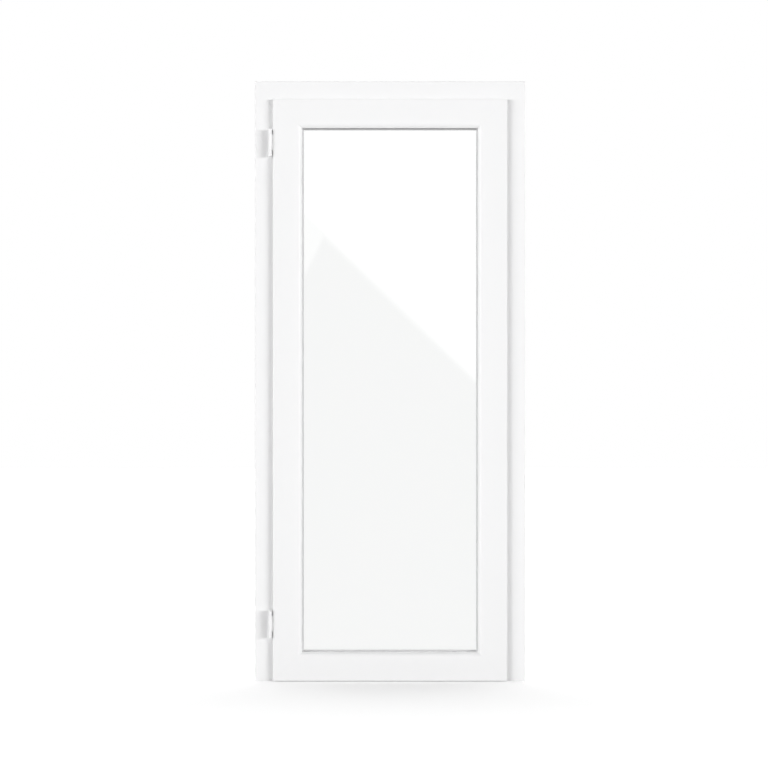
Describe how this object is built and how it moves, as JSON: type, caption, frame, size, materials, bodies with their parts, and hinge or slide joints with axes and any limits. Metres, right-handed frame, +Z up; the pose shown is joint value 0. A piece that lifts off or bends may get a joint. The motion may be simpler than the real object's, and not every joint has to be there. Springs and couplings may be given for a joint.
{
  "type": "aluminium patio door",
  "caption": "Single-leaf glazed aluminium patio door in a thermally broken frame, side hung on barrel hinges and opening inwards.",
  "frame": {"origin": "on the underside of the threshold, in the middle of the door's width and of the frame's depth", "axes": "+X from the hinge side to the lock side as seen from the room, +Y from the room to the outside, +Z up"},
  "size_m": [0.9, 0.106, 2],
  "materials": {
    "white_powder_coat": "satin",
    "white_hinge": "satin",
    "mill_aluminium": "satin",
    "stainless_steel": "satin",
    "polyamide": "matte",
    "spacer": "matte",
    "grey_gasket": "matte",
    "brush_pile": "matte",
    "clear_glass": "gloss"
  },
  "bodies": {
    "frame": {"hinge_jamb_inner_shell": "white_powder_coat", "hinge_jamb_outer_shell": "white_powder_coat", "hinge_jamb_thermal_break": "polyamide", "lock_jamb_inner_shell": "white_powder_coat", "lock_jamb_outer_shell": "white_powder_coat", "lock_jamb_thermal_break": "polyamide", "head_inner_shell": "white_powder_coat", "head_outer_shell": "white_powder_coat", "head_thermal_break": "polyamide", "threshold_core": "polyamide", "threshold_inner_rail": "mill_aluminium", "threshold_outer_rail": "mill_aluminium", "frame_centre_seal": "grey_gasket", "upper_hinge_frame_part": "white_hinge", "lower_hinge_frame_part": "white_hinge", "hinge_pins": "stainless_steel", "strike_plates": "stainless_steel"},
    "leaf": {"hinge_stile_inner_shell": "white_powder_coat", "hinge_stile_outer_shell": "white_powder_coat", "hinge_stile_thermal_break": "polyamide", "lock_stile_inner_shell": "white_powder_coat", "lock_stile_outer_shell": "white_powder_coat", "lock_stile_thermal_break": "polyamide", "top_rail_inner_shell": "white_powder_coat", "top_rail_outer_shell": "white_powder_coat", "top_rail_thermal_break": "polyamide", "bottom_rail_inner_shell": "white_powder_coat", "bottom_rail_outer_shell": "white_powder_coat", "bottom_rail_thermal_break": "polyamide", "hinge_side_glazing_bead": "white_powder_coat", "lock_side_glazing_bead": "white_powder_coat", "top_glazing_bead": "white_powder_coat", "bottom_glazing_bead": "white_powder_coat", "room_side_pane": "clear_glass", "outside_pane": "clear_glass", "glass_spacer": "spacer", "room_side_glazing_gasket": "grey_gasket", "outside_glazing_gasket": "grey_gasket", "leaf_lip_seal": "grey_gasket", "bottom_brush_seal": "brush_pile", "weather_bar": "white_powder_coat", "upper_hinge_leaf_part": "white_hinge", "lower_hinge_leaf_part": "white_hinge", "lock_faceplate": "stainless_steel", "locking_cams": "stainless_steel"}
  },
  "joints": [
    {"name": "leaf_swing", "type": "hinge", "parent": "frame", "child": "leaf", "pos_m": [-0.3993, -0.0545, 1], "axis": [0, 0, -1], "range_deg": [0, 105]}
  ]
}
